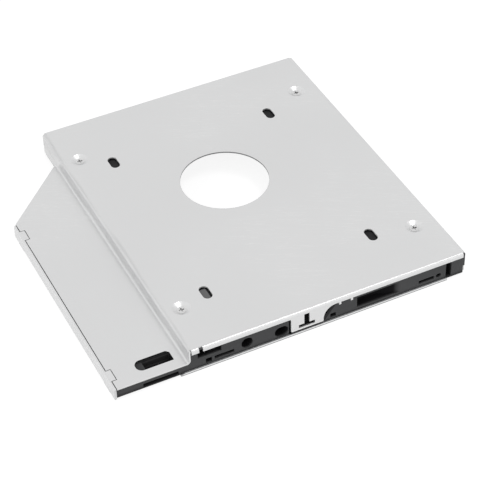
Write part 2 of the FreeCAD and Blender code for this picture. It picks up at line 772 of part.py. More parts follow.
def make_main_frame():
    frame = new_body("main_frame")

    wing = level(frame, "frame_bottom")
    add_polygon(wing, [
        ("frame_wing_left", "frame_front"),
        ("block_left + rib_thickness", "frame_front"),
        ("block_left + rib_thickness", "wing_rear_y"),
        ("left_side + wing_chamfer", "wing_rear_y"),
        ("frame_wing_left", "chamfer_front_y + rail_thickness"),
    ])
    pad(frame, wing, "wing_bottom - frame_bottom")
    block = level(frame, "frame_bottom")
    add_rectangle(block, "block_left", "frame_right", "frame_front", "frame_rear")
    pad(frame, block, "plate_bottom - frame_bottom")
    soften(frame, "PartDesign::Chamfer", "step_outer_radius - sheet_thickness",
           [("block_left", "0", "plate_bottom")])
    soften(frame, "PartDesign::Chamfer", "fold_inner_radius", [
        ("0", "frame_front", "plate_bottom"),
        ("0", "frame_rear", "plate_bottom"),
        ("frame_right", "0", "plate_bottom"),
    ])
    corner_post = level(frame, "right_fold_toe_z + cover_clearance")
    add_rectangle(corner_post, "frame_right - overcut", "right_side",
                  "frame_front", "front_side + fold_end_gap - cover_clearance")
    pad(frame, corner_post, "plate_bottom - fold_inner_radius - right_fold_toe_z - cover_clearance")

    bay = level(frame, "plate_bottom")
    add_rectangle(bay, "bay_left", "bay_right", "bay_front", "bay_rear")
    pocket(frame, bay, "overall_height")
    middle_z = "overall_height / 2"
    soften(frame, "PartDesign::Fillet", "bay_corner_radius", [
        (x, y, middle_z) for x in ("bay_left", "bay_right") for y in ("bay_front", "bay_rear")
    ])

    # Tongues that close the fixing slots from below
    tongue_top = "plate_bottom - tongue_gap"
    tongues = level(frame, tongue_top)
    for slot_y in ("slot_front_y", "slot_rear_y"):
        front, rear = f"{slot_y} - tongue_length / 2", f"{slot_y} + tongue_length / 2"
        add_rectangle(tongues, "bay_left - overcut", "bay_left + tongue_reach", front, rear)
        add_rectangle(tongues, "bay_right - tongue_reach", "bay_right + overcut", front, rear)
    pad(frame, tongues, "tongue_thickness", reverse=True)

    # Tray behind the bay, with gaps in its walls for the two connectors
    tray = level(frame, "plate_bottom")
    add_rectangle(tray, "block_left + end_wall", "frame_right - end_wall", "room_front", "room_rear")
    pocket(frame, tray, "plate_bottom - floor_top")
    socket_gap = facing_front(frame, "bay_rear")
    add_rectangle(socket_gap, "socket_left - cover_clearance", "socket_right + cover_clearance",
                  "floor_top", "plate_bottom")
    pocket(frame, socket_gap, "divider_wall")
    plug_gap = facing_front(frame, "room_rear")
    add_rectangle(plug_gap, "plug_left - cover_clearance", "plug_right + cover_clearance",
                  "floor_top", "plate_bottom")
    pocket(frame, plug_gap, "rear_wall")

    # Bosses that carry the board
    bosses = level(frame, "floor_top")
    for middle_x, middle_y in board_screw_places.values():
        add_circle(bosses, middle_x, middle_y, "boss_radius")
    pad(frame, bosses, "board_bottom - floor_top")
    board_holes = level(frame, "board_bottom")
    for middle_x, middle_y in board_screw_places.values():
        add_circle(board_holes, middle_x, middle_y, "board_screw_radius + screw_hole_clearance")
    pocket(frame, board_holes, "board_screw_length")

    # Seats for the cover's dimples, with the screw holes below them
    for middle_x, middle_y in screw_places.values():
        seat_rim = "dimple_radius + sheet_thickness + screw_hole_clearance"
        seat_foot = "dimple_hole_radius + sheet_thickness + screw_hole_clearance"
        hole = "screw_shank_radius + screw_hole_clearance"
        hole_floor = "head_top - screw_length - cover_clearance"
        turn(frame, "PartDesign::Groove", middle_x, middle_y, [
            ("0", "plate_bottom"),
            (seat_rim, "plate_bottom"),
            (seat_foot, "dimple_floor - sheet_thickness"),
            (hole, "dimple_floor - sheet_thickness"),
            (hole, hole_floor),
            ("0", hole_floor),
        ])

    # Stakes that pass through the bottom sheet
    stakes = level(frame, "frame_bottom + frame_floor / 2")
    for middle_x, middle_y in stake_places:
        add_circle(stakes, middle_x, middle_y, "stake_radius")
    pad(frame, stakes, "frame_bottom + frame_floor / 2 - stake_drop", reverse=True)

    make_front_holes(frame)
    make_clip_pocket(frame)
    make_cells(frame)


# Holes in the front bar, from left to right

def make_front_holes(frame):
    deep = facing_front(frame, "frame_front")
    add_rectangle(deep, "left_pocket_x", "left_pocket_x + left_pocket_width",
                  "left_pocket_top_z - left_pocket_height", "left_pocket_top_z")
    add_rectangle(deep, "left_square_x", "left_square_x + left_square_width",
                  "left_square_z", "left_square_z + left_square_height")
    add_rectangle(deep, "left_slit_x", "left_slit_x + left_slit_width",
                  "left_slit_z", "left_slit_z + slit_height")
    pocket(frame, deep, "deep_hole_depth")
    deep = facing_front(frame, "frame_front")
    add_circle(deep, "tab_left_x - round_hole_offset", "round_hole_z", "round_hole_radius")
    add_slot(deep, "tab_left_x - oval_hole_offset", "oval_hole_z",
             "oval_hole_length", "oval_hole_width", "x")
    add_rectangle(deep, "right_square_x", "right_square_x + right_square_width",
                  "right_square_z", "right_square_z + right_square_height")
    pocket(frame, deep, "deep_hole_depth")
    deep = facing_front(frame, "frame_front")
    add_rectangle(deep, "right_slit_x", "right_slit_x + right_slit_width",
                  "right_slit_z", "right_slit_z + slit_height")
    add_slot(deep, "right_side - small_oval_inset", "small_oval_z",
             "small_oval_length", "small_oval_width", "x")
    add_rectangle(deep, "end_slot_x", "end_slot_x + end_slot_width",
                  "end_slot_bottom_z", "end_slot_bottom_z + end_slot_height")
    pocket(frame, deep, "deep_hole_depth")

    # A shallow step beside the left pocket, and the hollow that the tab springs into
    shallow = facing_front(frame, "frame_front")
    step_left = "left_pocket_x + left_pocket_width / 2"
    add_rectangle(shallow, step_left, "left_pocket_x + left_pocket_width + left_pocket_step_width",
                  "left_pocket_top_z - left_pocket_height", "left_pocket_top_z")
    tab_room_left = "tab_left_x - tab_corner_radius"
    tab_room_right = "tab_right_x + cover_clearance"
    tab_room_top = "tab_stem_top_z + tab_corner_radius"
    add_polygon(shallow, [
        (tab_room_left, "tab_bottom_z - tab_room_drop"),
        (tab_room_right, "tab_bottom_z - tab_room_drop"),
        (tab_room_right, "front_fold_bottom - tab_arc"),
        ("tab_right_x + tab_arc", "front_fold_bottom"),
        ("tab_right_x + tab_arc", tab_room_top),
        (tab_room_left, tab_room_top),
    ])
    pocket(frame, shallow, "shallow_hole_depth")

    # A recess whose floor ramps out to the face on the right
    recess_top = "recess_bottom_z + recess_height"
    ramp = level(frame, recess_top)
    add_polygon(ramp, [
        ("recess_x", "frame_front"),
        ("recess_x + recess_width + recess_ramp", "frame_front"),
        ("recess_x + recess_width", "frame_front + recess_depth"),
        ("recess_x", "frame_front + recess_depth"),
    ])
    pocket(frame, ramp, "recess_height")


# Pocket under the wing's clip slot, open at the front

def make_clip_pocket(frame):
    clip_floor_top = "frame_bottom + clip_floor"
    from_top = level(frame, "wing_bottom")
    add_rectangle(from_top, "wing_slot_left_x + clip_pad_length", "wing_slot_right_x",
                  "wing_slot_front_y", "wing_slot_rear_y")
    pocket(frame, from_top, f"wing_bottom - ({clip_floor_top})")
    pad_step = level(frame, "wing_bottom")
    add_rectangle(pad_step, "wing_slot_left_x", "wing_slot_left_x + clip_pad_length + clip_floor",
                  "wing_slot_front_y", "wing_slot_rear_y")
    pocket(frame, pad_step, "clip_pad_drop")
    from_front = facing_front(frame, "frame_front")
    add_rectangle(from_front, "wing_slot_left_x + cover_clearance", "wing_slot_right_x",
                  clip_floor_top, f"{clip_floor_top} + clip_pocket_height")
    pocket(frame, from_front, "wing_slot_rear_y - frame_front")


# Cells under the wing and the side rails, between ribs

def make_cells(frame):
    wing_cells = level(frame, "frame_bottom")
    left = "frame_wing_left + rib_thickness"
    right = "bottom_left_x - rib_thickness"
    cell_width = f"(({right}) - ({left}) - (wing_cell_columns - 1) * rib_thickness) / wing_cell_columns"
    front = "front_side + wing_cell_front_inset"
    rear = "chamfer_front_y - wing_cell_rear_inset"
    cell_depth = f"(({rear}) - ({front}) - (wing_cell_rows - 1) * rib_thickness) / wing_cell_rows"
    for column in range(round(measure("wing_cell_columns"))):
        for row in range(round(measure("wing_cell_rows"))):
            cell_left = f"{left} + {column} * ({cell_width} + rib_thickness)"
            cell_front = f"{front} + {row} * ({cell_depth} + rib_thickness)"
            add_rectangle(wing_cells, cell_left, f"{cell_left} + {cell_width}",
                          cell_front, f"{cell_front} + {cell_depth}")
    pocket(frame, wing_cells, "wing_bottom - wing_skin - frame_bottom", reverse=True)

    rail_cells = level(frame, "frame_bottom")
    front = "screw_front_y + boss_radius + dimple_radius"
    rear = "screw_rear_y - boss_radius - dimple_radius"
    cell_depth = f"(({rear}) - ({front}) - (rail_cell_rows - 1) * rib_thickness) / rail_cell_rows"
    rails = (
        ("block_left + rail_skin", "bay_left - rail_skin"),
        ("bay_right + rail_skin", "frame_right - rail_skin"),
    )
    for cell_left, cell_right in rails:
        for row in range(round(measure("rail_cell_rows"))):
            cell_front = f"{front} + {row} * ({cell_depth} + rib_thickness)"
            add_rectangle(rail_cells, cell_left, cell_right, cell_front, f"{cell_front} + {cell_depth}")
    pocket(frame, rail_cells, "plate_bottom - rail_skin - frame_bottom", reverse=True)


# Bottom sheet with the bay's window and a lip along the front

def make_bottom_sheet():
    sheet = new_body("bottom_sheet")
    outline = level(sheet, "0")
    add_polygon(outline, [
        ("bottom_left_x", "front_side"),
        ("lip_right_x", "front_side"),
        ("lip_right_x", "front_side + corner_notch_depth"),
        ("frame_right", "front_side + corner_notch_depth"),
        ("frame_right", "frame_rear"),
        ("step_inner_x", "frame_rear"),
        ("step_inner_x", "wing_rear_y - bottom_left_overhang"),
        ("bottom_left_x", "wing_rear_y - 2 * bottom_left_overhang"),
    ])
    pad(sheet, outline, "sheet_thickness")
    lip = facing_front(sheet, "front_side + sheet_thickness")
    add_polygon(lip, [
        ("bottom_left_x", "sheet_thickness"),
        ("lip_right_x", "sheet_thickness"),
        ("lip_right_x", "lip_height"),
        ("lip_left_x + lip_height", "lip_height"),
    ])
    pad(sheet, lip, "sheet_thickness")
    soften(sheet, "PartDesign::Fillet", "fold_inner_radius", [("0", "front_side", "0")])
    window = level(sheet, "sheet_thickness")
    add_rectangle(window, "bay_left", "bay_right", "bay_front", "bay_rear")
    for middle_x, middle_y in stake_places:
        add_circle(window, middle_x, middle_y, "stake_radius + stake_clearance")
    pocket(sheet, window, "2 * sheet_thickness")
    soften(sheet, "PartDesign::Fillet", "bay_corner_radius", [
        (x, y, "sheet_thickness / 2") for x in ("bay_left", "bay_right") for y in ("bay_front", "bay_rear")
    ])


# Side rail: a strip along the wing with hooks over its top and under its bottom

def make_side_rail():
    rail = new_body("wing_side_rail")
    strip = level(rail, "frame_bottom")
    add_polygon(strip, [
        ("left_side", "front_side"),
        ("frame_wing_left", "front_side"),
        ("frame_wing_left", "chamfer_front_y + rail_thickness"),
        ("left_side", "chamfer_front_y"),
    ])
    pad(rail, strip, "wing_height - frame_bottom")
    for low, high in (("wing_bottom", "wing_height"), ("0", "frame_bottom")):
        hooks = level(rail, low)
        for hook_y in ("front_hook_y", "rear_hook_y"):
            add_rectangle(hooks, "left_side", "frame_wing_left + hook_reach",
                          f"{hook_y} - hook_length / 2", f"{hook_y} + hook_length / 2")
        pad(rail, hooks, f"{high} - ({low})")
    soften(rail, "PartDesign::Fillet", "fold_inner_radius", [("left_side", "0", "wing_height")])


# Circuit board, its film and the small parts soldered under it

def make_board():
    board = new_body("circuit_board")
    outline = level(board, "board_bottom")
    add_rectangle(outline, "board_left_x", "board_right_x", "board_front", "board_rear")
    for middle_x, middle_y in board_screw_places.values():
        add_circle(outline, middle_x, middle_y, "board_screw_radius + 2 * screw_hole_clearance")
    pad(board, outline, "board_thickness")
    tail_slots = level(board, "board_top")
    for left, right, front, rear in tail_rows():
        add_rectangle(tail_slots, f"{left} - contact_clearance", f"{right} + contact_clearance",
                      f"{front} - contact_clearance", f"{rear} + contact_clearance")
    for x, y in lock_places():
        add_lock_outline(tail_slots, x, y, "contact_clearance")
    pocket(board, tail_slots, "board_thickness")

    film = new_body("insulating_film")
    cover_film = level(film, "plate_bottom - film_thickness")
    add_rectangle(cover_film, "board_left_x", "board_right_x", "room_front", "room_rear")
    pad(film, cover_film, "film_thickness")


def tail_rows():
    """The span that each row of contact tails takes through the board."""
    rows = []
    tail_rear = "socket_rear + contact_tail_reach"
    for slot_left, slot_width, count in socket_groups:
        left = socket_contact_x(slot_left, slot_width, count)
        right = f"{left} + ({count} - 1) * contact_pitch + contact_width"
        rows.append((left, right, f"{tail_rear} - contact_thickness", tail_rear))
    tail_front = "plug_front - contact_tail_reach"
    for support_left, _, count in plug_groups:
        left = f"{support_left} + plug_support_margin - plug_contact_width / 2"
        right = f"{left} + ({count} - 1) * plug_contact_pitch + plug_contact_width"
        rows.append((left, right, tail_front, f"{tail_front} + contact_thickness"))
    return rows


def socket_contact_x(slot_left, slot_width, count):
    """The left edge of the first contact in a slot, with the row in the slot's middle."""
    return f"{slot_left} + {slot_width} / 2 - ({count} - 1) * contact_pitch / 2 - contact_width / 2"


def lock_places():
    """Where the metal board locks of both connectors stand."""
    socket_y = "socket_rear - lock_width"
    plug_y = "plug_front + lock_width"
    return [
        ("socket_left + lock_thickness", socket_y),
        ("socket_right - lock_thickness", socket_y),
        ("plug_left + lock_thickness", plug_y),
        ("plug_right - lock_thickness", plug_y),
    ]


def add_lock_outline(sketch, x, y, clearance):
    """The section of one board lock, widened all round by a clearance."""
    across = f"lock_thickness / 2 + {clearance}"
    along = f"lock_width / 2 + {clearance}"
    add_rectangle(sketch, f"{x} - ({across})", f"{x} + {across}", f"{y} - ({along})", f"{y} + {along}")


def make_small_parts():
    capacitors = new_body("capacitors")
    first = level(capacitors, "board_bottom")
    left = "socket_middle_x - (capacitor_count - 1) * capacitor_pitch / 2 - capacitor_length / 2"
    add_rectangle(first, left, f"{left} + capacitor_length",
                  "board_rear - capacitor_width - contact_thickness", "board_rear - contact_thickness")
    block = pad(capacitors, first, "capacitor_height", reverse=True)
    repeat(capacitors, block, "X_Axis", "capacitor_pitch", "capacitor_count")

    resistors = new_body("resistors")
    first = level(resistors, "board_bottom")
    left = "plug_middle_x - (resistor_count - 1) * resistor_pitch / 2 - resistor_length / 2"
    add_rectangle(first, left, f"{left} + resistor_length",
                  "board_front + contact_thickness", "board_front + contact_thickness + resistor_width")
    block = pad(resistors, first, "resistor_height", reverse=True)
    repeat(resistors, block, "X_Axis", "resistor_pitch", "resistor_count")


# Drive socket: a housing with two keyed slots that face the bay

def make_drive_socket():
    housing = new_body("drive_socket")
    outline = level(housing, "socket_bottom")
    add_rectangle(outline, "socket_left", "socket_right", "socket_front", "socket_rear")
    pad(housing, outline, "socket_height")
    slot_top = "socket_slot_bottom_z + socket_slot_height"
    slots = facing_front(housing, "socket_front")
    for left, width, _ in socket_groups:
        right = f"{left} + {width}"
        add_polygon(slots, [
            (left, "socket_slot_bottom_z"),
            (right, "socket_slot_bottom_z"),
            (right, slot_top),
            (f"{left} + socket_key_width", slot_top),
            (f"{left} + socket_key_width", f"{slot_top} + socket_key_height"),
            (left, f"{slot_top} + socket_key_height"),
        ])
    pocket(housing, slots, "socket_cavity_depth")
    channel = facing_front(housing, "socket_front")
    for slot_left, slot_width, count in socket_groups:
        contact_left = socket_contact_x(slot_left, slot_width, count)
        add_rectangle(channel, f"{contact_left} - contact_clearance",
                      f"{contact_left} + ({count} - 1) * contact_pitch + contact_width + contact_clearance",
                      "socket_slot_bottom_z",
                      "socket_slot_bottom_z + contact_thickness + contact_clearance")
    pocket(housing, channel, "socket_length")
    lock_slots = level(housing, "board_bottom")
    for x, y in lock_places()[:2]:
        add_lock_outline(lock_slots, x, y, "contact_clearance")
    pocket(housing, lock_slots, "socket_height / 2")
    soften(housing, "PartDesign::Chamfer", "contact_thickness", [
        ("socket_left", "socket_front", "(socket_bottom + board_bottom) / 2"),
        ("socket_right", "socket_front", "(socket_bottom + board_bottom) / 2"),
    ])

    contacts = new_body("drive_socket_contacts")
    blade_front = "socket_front + contact_pitch"
    blade_top = "socket_slot_bottom_z + contact_thickness"
    tail_rear = "socket_rear + contact_tail_reach"
    for slot_left, slot_width, count in socket_groups:
        contact_left = socket_contact_x(slot_left, slot_width, count)
        bent_strip = facing_right(contacts, contact_left)
        add_polygon(bent_strip, [
            (blade_front, "socket_slot_bottom_z"),
            (tail_rear, "socket_slot_bottom_z"),
            (tail_rear, "contact_top"),
            (f"{tail_rear} - contact_thickness", "contact_top"),
            (f"{tail_rear} - contact_thickness", blade_top),
            (blade_front, blade_top),
        ])
        strip = pad(contacts, bent_strip, "contact_width")
        repeat(contacts, strip, "X_Axis", "contact_pitch", count)

    make_locks("drive_socket_locks", lock_places()[:2], "board_bottom - socket_height / 2")


# Rear plug: a shroud round two upright blades that face the computer

def make_rear_plug():
    shroud = new_body("rear_plug")
    outline = level(shroud, "plug_bottom")
    add_rectangle(outline, "plug_left", "plug_right", "plug_front", "plug_rear")
    pad(shroud, outline, "plug_height")
    cavity = facing_front(shroud, "plug_rear")
    add_rectangle(cavity, "plug_left + plug_wall", "plug_right - plug_wall",
                  "plug_bottom + plug_wall", "board_bottom - plug_wall")
    pocket(shroud, cavity, "plug_cavity_depth", reverse=True)
    supports = facing_front(shroud, "plug_rear - plug_cavity_depth")
    for left, width, _ in plug_groups:
        add_rectangle(supports, left, f"{left} + {width}",
                      "support_bottom", "support_bottom + blade_support_thickness")
    pad(shroud, supports, "blade_support_length", reverse=True)
    channel = facing_front(shroud, "plug_front")
    for left, _, count in plug_groups:
        contact_left = f"{left} + plug_support_margin - plug_contact_width / 2"
        contact_right = f"{contact_left} + ({count} - 1) * plug_contact_pitch + plug_contact_width"
        add_rectangle(channel, f"{contact_left} - contact_clearance",
                      f"{contact_right} + contact_clearance",
                      "support_bottom - contact_thickness - contact_clearance", "support_bottom")
    pocket(shroud, channel, "plug_length")
    lock_slots = level(shroud, "board_bottom")
    for x, y in lock_places()[2:]:
        add_lock_outline(lock_slots, x, y, "contact_clearance")
    pocket(shroud, lock_slots, "plug_height / 2")

    contacts = new_body("rear_plug_contacts")
    tail_front = "plug_front - contact_tail_reach"
    blade_rear = "plug_rear - plug_cavity_depth + blade_support_length - contact_thickness"
    for left, _, count in plug_groups:
        bent_strip = facing_right(contacts, f"{left} + plug_support_margin - plug_contact_width / 2")
        add_polygon(bent_strip, [
            (tail_front, "support_bottom - contact_thickness"),
            (blade_rear, "support_bottom - contact_thickness"),
            (blade_rear, "support_bottom"),
            (f"{tail_front} + contact_thickness", "support_bottom"),
            (f"{tail_front} + contact_thickness", "contact_top"),
            (tail_front, "contact_top"),
        ])
        strip = pad(contacts, bent_strip, "plug_contact_width")
        repeat(contacts, strip, "X_Axis", "plug_contact_pitch", count)

    make_locks("rear_plug_locks", lock_places()[2:], "board_bottom - plug_height / 2")


def make_locks(label, places, low):
    """Metal tags that hold a connector to the board."""
    locks = new_body(label)
    outline = level(locks, low)
    for x, y in places:
        add_lock_outline(outline, x, y, "0")
    pad(locks, outline, f"contact_top - ({low})")


# Screws, each modelled upright with its head's top at its own origin

def make_screw(label, place, head_top, profile, recess_depth):
    screw = new_body(label)
    turn(screw, "PartDesign::Revolution", "0", "0", profile)
    arm = "cross_recess_width / 2"
    reach = "cross_recess_length / 2"
    cross = level(screw, "0")
    add_polygon(cross, [
        (f"-{reach}", f"-{arm}"), (f"-{arm}", f"-{arm}"), (f"-{arm}", f"-{reach}"),
        (arm, f"-{reach}"), (arm, f"-{arm}"), (reach, f"-{arm}"),
        (reach, arm), (arm, arm), (arm, reach),
        (f"-{arm}", reach), (f"-{arm}", arm), (f"-{reach}", arm),
    ])
    pocket(screw, cross, recess_depth)
    for axis, value in zip("xyz", (*place, head_top)):
        screw.setExpression(f".Placement.Base.{axis}", linked(value))
    caddy.recompute()


def make_screws():
    cover_profile = [
        ("0", "0"),
        ("screw_head_radius", "0"),
        ("screw_shank_radius", "-head_depth"),
        ("screw_shank_radius", "-screw_length"),
        ("0", "-screw_length"),
    ]
    for corner, place in screw_places.items():
        make_screw(f"cover_screw_{corner}", place, "head_top", cover_profile, "cross_recess_depth")
    board_profile = [
        ("0", "0"),
        ("board_screw_head_radius", "0"),
        ("board_screw_head_radius", "-board_screw_head_height"),
        ("board_screw_radius", "-board_screw_head_height"),
        ("board_screw_radius", "-board_screw_length"),
        ("0", "-board_screw_length"),
    ]
    for side, place in board_screw_places.items():
        make_screw(f"board_screw_{side}", place, "board_top + board_screw_head_height", board_profile,
                   "board_screw_head_height - contact_clearance")


make_top_cover()
make_main_frame()
make_bottom_sheet()
make_side_rail()
make_board()
make_drive_socket()
make_rear_plug()
make_small_parts()
make_screws()

caddy.recompute()
for item in caddy.Objects:
    if "Invalid" in item.State or "Error" in item.State:
        raise RuntimeError(f"{item.Name} failed: {item.State}")
for sub_part in sub_parts:
    if sub_part.Shape.isNull() or not sub_part.Shape.isValid():
        raise RuntimeError(f"{sub_part.Label} has no valid shape")
for sub_part in sub_parts:
    sub_part.Shape.exportStep(f"parts/{sub_part.Label}.step")
    print(sub_part.Label, len(sub_part.Shape.Solids), round(sub_part.Shape.Volume, 2))
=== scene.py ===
import math
import bpy
from mathutils import Euler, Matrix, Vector


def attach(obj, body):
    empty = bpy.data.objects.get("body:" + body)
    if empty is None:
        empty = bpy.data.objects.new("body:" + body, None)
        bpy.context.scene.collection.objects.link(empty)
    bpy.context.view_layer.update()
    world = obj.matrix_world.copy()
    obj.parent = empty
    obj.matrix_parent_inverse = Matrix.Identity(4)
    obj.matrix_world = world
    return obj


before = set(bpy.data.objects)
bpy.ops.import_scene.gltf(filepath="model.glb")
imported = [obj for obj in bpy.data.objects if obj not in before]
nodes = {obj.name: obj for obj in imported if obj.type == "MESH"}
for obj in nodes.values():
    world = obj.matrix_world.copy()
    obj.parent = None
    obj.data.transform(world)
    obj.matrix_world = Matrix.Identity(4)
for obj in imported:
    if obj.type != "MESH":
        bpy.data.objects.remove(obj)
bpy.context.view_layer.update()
print("frame loaded:", len(nodes), "nodes")

mm = 0.001  # the numbers below are millimetres unless a note says otherwise


# Camera, fitted to the slots, screws and folds of the photograph (480 pixels wide)

camera = {
    "place": (-191.97, -438.34, 410.10),
    "turn": (48.792, 1.465, -26.082),  # degrees about X, Y and Z
    "focalPixels": 1802.6,
    "frameWidthPixels": 480,
    "sensorWidth": 36.0,
    "nearest": 10.0,
}


def buildCamera():
    lens = bpy.data.cameras.new("photoCamera")
    lens.sensor_width = camera["sensorWidth"]
    lens.lens = camera["focalPixels"] * camera["sensorWidth"] / camera["frameWidthPixels"]
    lens.clip_start = camera["nearest"] * mm
    eye = bpy.data.objects.new("photoCamera", lens)
    eye.location = Vector(camera["place"]) * mm
    eye.rotation_euler = Euler([math.radians(angle) for angle in camera["turn"]], "XYZ")
    bpy.context.scene.collection.objects.link(eye)
    bpy.context.scene.camera = eye


buildCamera()
print("camera placed")


# Small helpers for node trees

def feed(tree, socket, value):
    # links the socket, or sets it where the value isn't a socket itself
    if isinstance(value, bpy.types.NodeSocket):
        tree.links.new(value, socket)
    elif socket.type == "RGBA":
        socket.default_value = (*value, 1.0)
    else:
        socket.default_value = value


def addMath(tree, operation, first, second=None, third=None, clamp=False):
    node = tree.nodes.new("ShaderNodeMath")
    node.operation = operation
    node.use_clamp = clamp
    for socket, value in zip(node.inputs, (first, second, third)):
        if value is not None:
            feed(tree, socket, value)
    return node.outputs[0]


def addRange(tree, value, low, high, newLow=0.0, newHigh=1.0):
    node = tree.nodes.new("ShaderNodeMapRange")
    tree.links.new(value, node.inputs["Value"])
    node.inputs["From Min"].default_value = low
    node.inputs["From Max"].default_value = high
    node.inputs["To Min"].default_value = newLow
    node.inputs["To Max"].default_value = newHigh
    return node.outputs["Result"]


def fadeIn(tree, place, ends):
    # 0 to 1 between two places in mm
    return addRange(tree, place, ends[0] * mm, ends[1] * mm)


def fadeOut(tree, place, ends, full=1.0):
    # full to 0 between two places in mm
    return addRange(tree, place, ends[0] * mm, ends[1] * mm, full, 0.0)


def addStretch(tree, vector, amounts):
    node = tree.nodes.new("ShaderNodeVectorMath")
    node.operation = "MULTIPLY"
    tree.links.new(vector, node.inputs[0])
    feed(tree, node.inputs[1], amounts)
    return node.outputs[0]


def addNoise(tree, vector, scale, detail):
    node = tree.nodes.new("ShaderNodeTexNoise")
    node.inputs["Detail"].default_value = detail
    tree.links.new(vector, node.inputs["Vector"])
    feed(tree, node.inputs["Scale"], scale)
    return node.outputs["Fac"]


def joinAxes(tree, x, y=0.0, z=0.0):
    node = tree.nodes.new("ShaderNodeCombineXYZ")
    for socket, value in zip(node.inputs, (x, y, z)):
        feed(tree, socket, value)
    return node.outputs[0]


def mixColour(tree, mask, first, second):
    node = tree.nodes.new("ShaderNodeMix")
    node.data_type = "RGBA"
    # with colours, a Mix node uses inputs 0, 6 and 7 and output 2
    for index, value in ((0, mask), (6, first), (7, second)):
        feed(tree, node.inputs[index], value)
    return node.outputs[2]


def objectAxes(tree):
    # Object coordinates, as sockets named X, Y and Z
    place = tree.nodes.new("ShaderNodeTexCoord")
    axes = tree.nodes.new("ShaderNodeSeparateXYZ")
    tree.links.new(place.outputs["Object"], axes.inputs[0])
    return axes.outputs


def roundMask(tree, axes, circle):
    # 1 inside an upright cylinder, given by its middle X, middle Y and radius in mm
    fromX = addMath(tree, "SUBTRACT", axes["X"], circle[0] * mm)
    fromY = addMath(tree, "SUBTRACT", axes["Y"], circle[1] * mm)
    square = addMath(tree, "ADD", addMath(tree, "POWER", fromX, 2.0), addMath(tree, "POWER", fromY, 2.0))
    return addMath(tree, "LESS_THAN", addMath(tree, "SQRT", square), circle[2] * mm)


def boxMask(tree, axes, middle, half):
    # 1 inside a box, given by its middle and half its size in mm
    mask = None
    for axis, centre, reach in zip("XYZ", middle, half):
        away = addMath(tree, "ABSOLUTE", addMath(tree, "SUBTRACT", axes[axis], centre * mm))
        within = addMath(tree, "LESS_THAN", away, reach * mm)
        mask = within if mask is None else addMath(tree, "MULTIPLY", mask, within)
    return mask


# Shader groups that several finishes share

hairStretch = (1.0, 22.0, 1.0)  # hairlines run 22 times further along X than across it


def newGroup(name, inputs, outputs):
    group = bpy.data.node_groups.new(name, "ShaderNodeTree")
    for socketName, socketType, value in inputs:
        socket = group.interface.new_socket(socketName, in_out="INPUT", socket_type=socketType)
        socket.default_value = value
    for socketName, socketType in outputs:
        group.interface.new_socket(socketName, in_out="OUTPUT", socket_type=socketType)
    entry = group.nodes.new("NodeGroupInput")
    exitNode = group.nodes.new("NodeGroupOutput")
    return group, entry, exitNode


def buildGrainGroup():
    # fine grain and broad patches, both as masks from 0 to 1
    group, entry, exitNode = newGroup(
        "surfaceGrain",
        [("Grain Scale", "NodeSocketFloat", 2500.0), ("Patch Scale", "NodeSocketFloat", 40.0),
         ("Stretch", "NodeSocketVector", (1.0, 1.0, 1.0))],
        [("Grain", "NodeSocketFloat"), ("Patch", "NodeSocketFloat")])
    place = group.nodes.new("ShaderNodeTexCoord").outputs["Object"]
    stretched = addStretch(group, place, entry.outputs["Stretch"])
    grain = addNoise(group, stretched, entry.outputs["Grain Scale"], 3.0)
    patch = addNoise(group, place, entry.outputs["Patch Scale"], 2.0)
    group.links.new(grain, exitNode.inputs["Grain"])
    group.links.new(patch, exitNode.inputs["Patch"])
    return group


def buildScratchGroup():
    # hairlines that run mostly one way
    group, entry, exitNode = newGroup(
        "hairScratches",
        [("Scale", "NodeSocketFloat", 60.0), ("Turn", "NodeSocketFloat", 0.3),
         ("Amount", "NodeSocketFloat", 0.03)],
        [("Scratch", "NodeSocketFloat")])
    place = group.nodes.new("ShaderNodeTexCoord")
    turn = group.nodes.new("ShaderNodeVectorRotate")
    turn.rotation_type = "Z_AXIS"
    group.links.new(place.outputs["Object"], turn.inputs["Vector"])
    group.links.new(entry.outputs["Turn"], turn.inputs["Angle"])
    noise = addNoise(group, addStretch(group, turn.outputs[0], hairStretch), entry.outputs["Scale"], 4.0)
    offLine = addMath(group, "ABSOLUTE", addMath(group, "SUBTRACT", noise, 0.5))
    ratio = addMath(group, "DIVIDE", offLine, entry.outputs["Amount"])
    line = addMath(group, "SUBTRACT", 1.0, ratio, clamp=True)
    group.links.new(line, exitNode.inputs["Scratch"])
    return group


grainGroup = buildGrainGroup()
scratchGroup = buildScratchGroup()


# A finish starts as a Principled BSDF with grain in its colour, roughness and bump

grainSpread = (0.2, 0.8)  # nearly all of the grain's values lie between these


def startFinish(name, look):
    material = bpy.data.materials.new(name)
    material.use_nodes = True
    tree = material.node_tree
    shader = tree.nodes["Principled BSDF"]
    shader.inputs["Metallic"].default_value = look.get("metallic", 0.0)
    shader.inputs["IOR"].default_value = 1.5
    shader.inputs["Specular IOR Level"].default_value = look.get("specular", 0.5)
    shader.inputs["Coat Weight"].default_value = look.get("coat", 0.0)
    grain = tree.nodes.new("ShaderNodeGroup")
    grain.node_tree = grainGroup
    grain.inputs["Grain Scale"].default_value = look["grainScale"]
    grain.inputs["Patch Scale"].default_value = look["patchScale"]
    grain.inputs["Stretch"].default_value = look.get("stretch", (1.0, 1.0, 1.0))
    colour = mixColour(tree, grain.outputs["Patch"], look["dark"], look["light"])
    tree.links.new(colour, shader.inputs["Base Color"])
    rough = addRange(tree, grain.outputs["Grain"], *grainSpread, *look["rough"])
    tree.links.new(rough, shader.inputs["Roughness"])
    bump = tree.nodes.new("ShaderNodeBump")
    bump.inputs["Strength"].default_value = look["bump"]
    bump.inputs["Distance"].default_value = look["bumpDepth"] * mm
    tree.links.new(grain.outputs["Grain"], bump.inputs["Height"])
    tree.links.new(bump.outputs["Normal"], shader.inputs["Normal"])
    parts = {"shader": shader, "grain": grain, "colour": colour, "rough": rough, "bump": bump}
    return material, tree, parts


